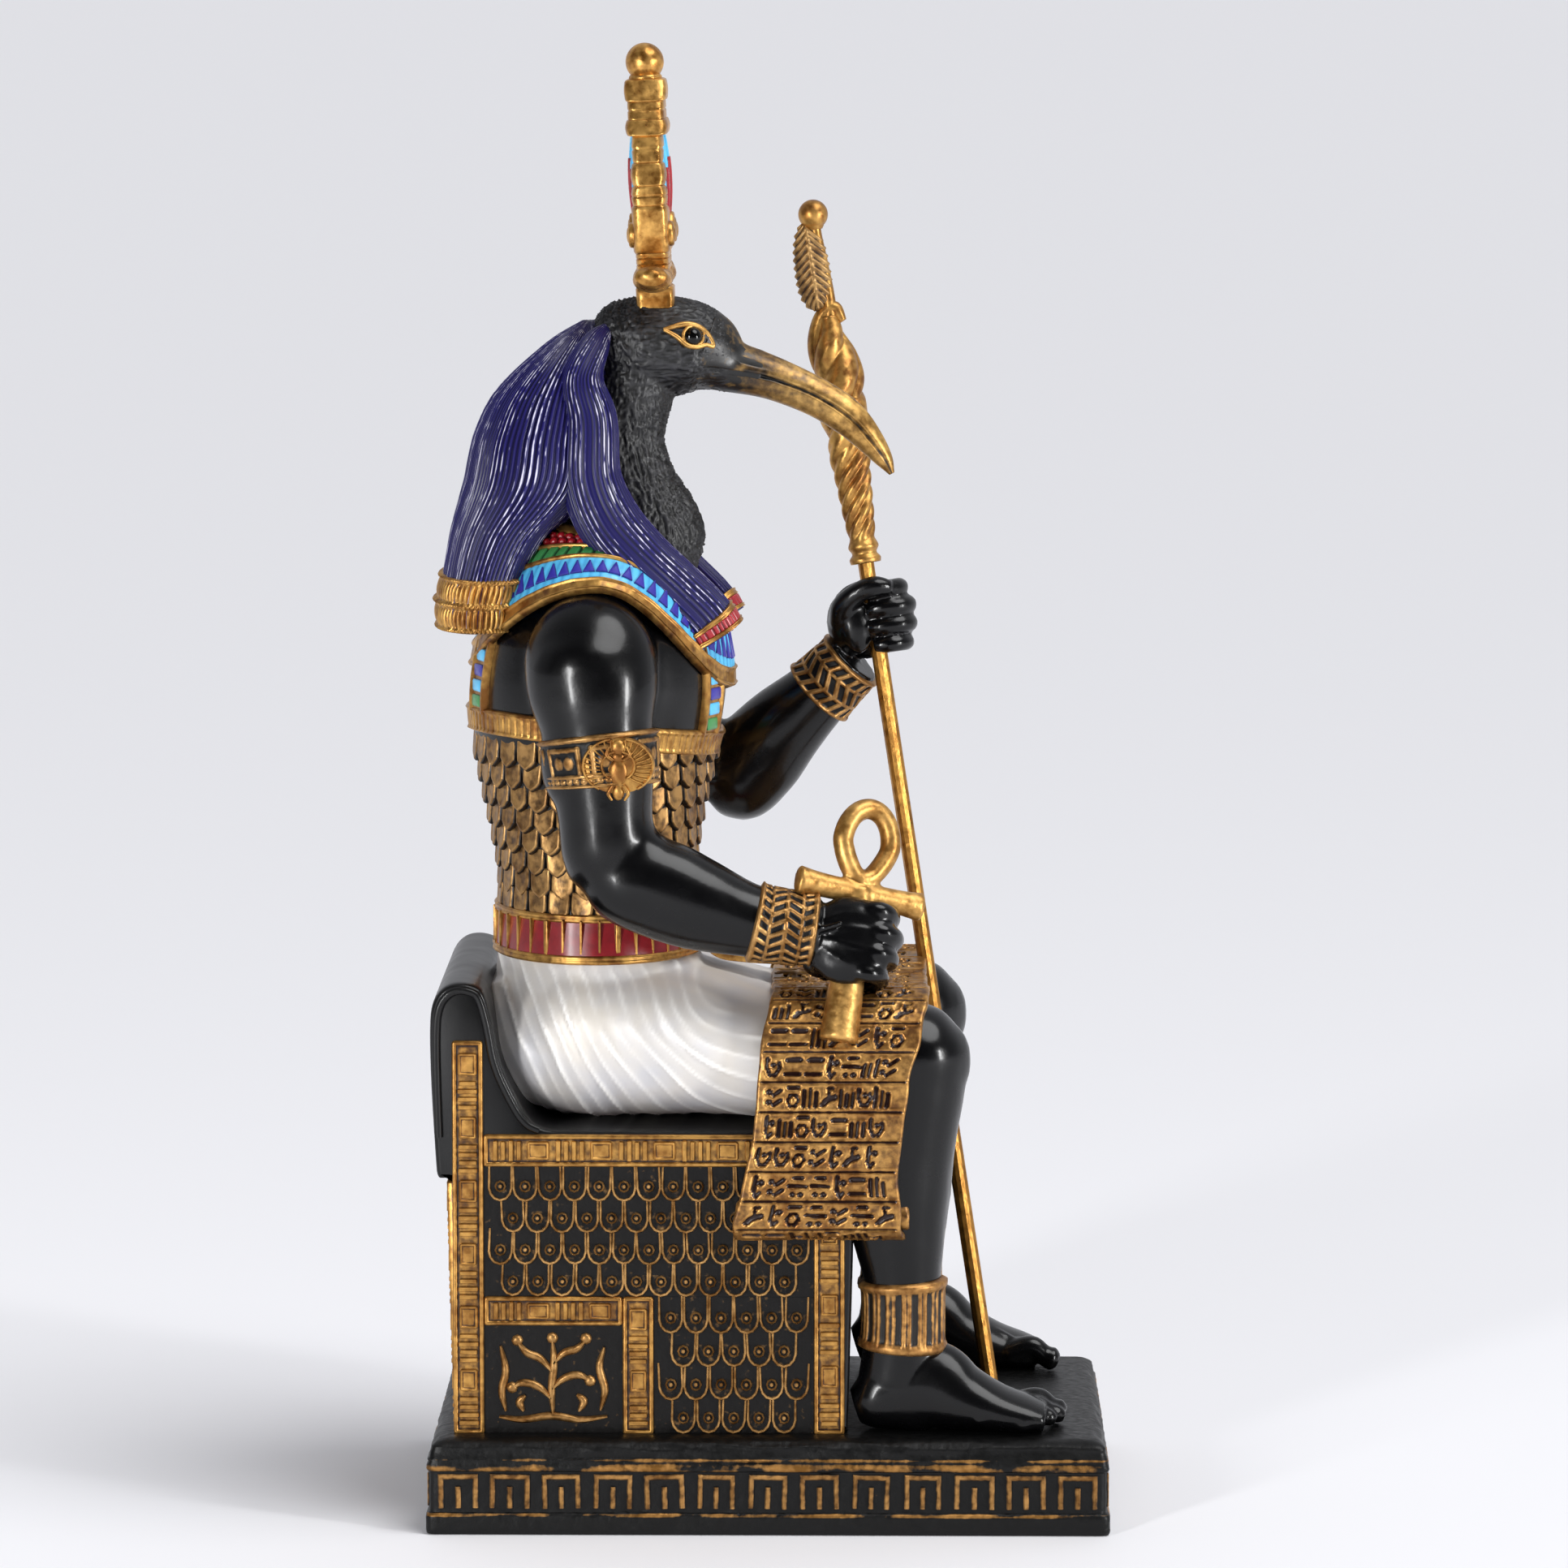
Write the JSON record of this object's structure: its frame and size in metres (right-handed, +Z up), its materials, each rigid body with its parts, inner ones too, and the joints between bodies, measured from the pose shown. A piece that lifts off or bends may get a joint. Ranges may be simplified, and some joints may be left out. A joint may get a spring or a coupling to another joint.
{
  "type": "seated ibis-headed figurine",
  "caption": "Painted resin figurine of a seated ibis-headed scribe god with staff, looped cross and scroll, on a panelled throne and fretted plinth.",
  "frame": {"origin": "centre of the plinth's underside", "axes": "+Z up, +X the way the figure faces, +Y towards its left hand"},
  "size_m": [0.1386, 0.09, 0.2991],
  "materials": {
    "black_resin": "satin black paint on cast resin",
    "crown_gold": "antiqued gold paint on cast resin",
    "ankh_gold": "satin gold paint on cast resin",
    "rod_gold": "gold-painted metal rod",
    "staff_gold": "antiqued gold paint on cast resin",
    "relief_gold": "gold paint brushed over black on raised ornament",
    "scroll_gold": "antiqued gold paint with dark sunk strokes",
    "wig_indigo": "indigo paint with pale dry-brushed ridges",
    "kilt_pearl": "pearl white paint on cast resin",
    "red_enamel": "gloss red paint on cast resin",
    "blue_enamel": "gloss light-blue paint on cast resin",
    "green_enamel": "gloss green paint on cast resin"
  },
  "bodies": {
    "root": {"figure": "black_resin", "crown": "crown_gold", "ankh": "ankh_gold", "staff_rod": "rod_gold", "staff_head": "staff_gold"}
  },
  "joints": []
}
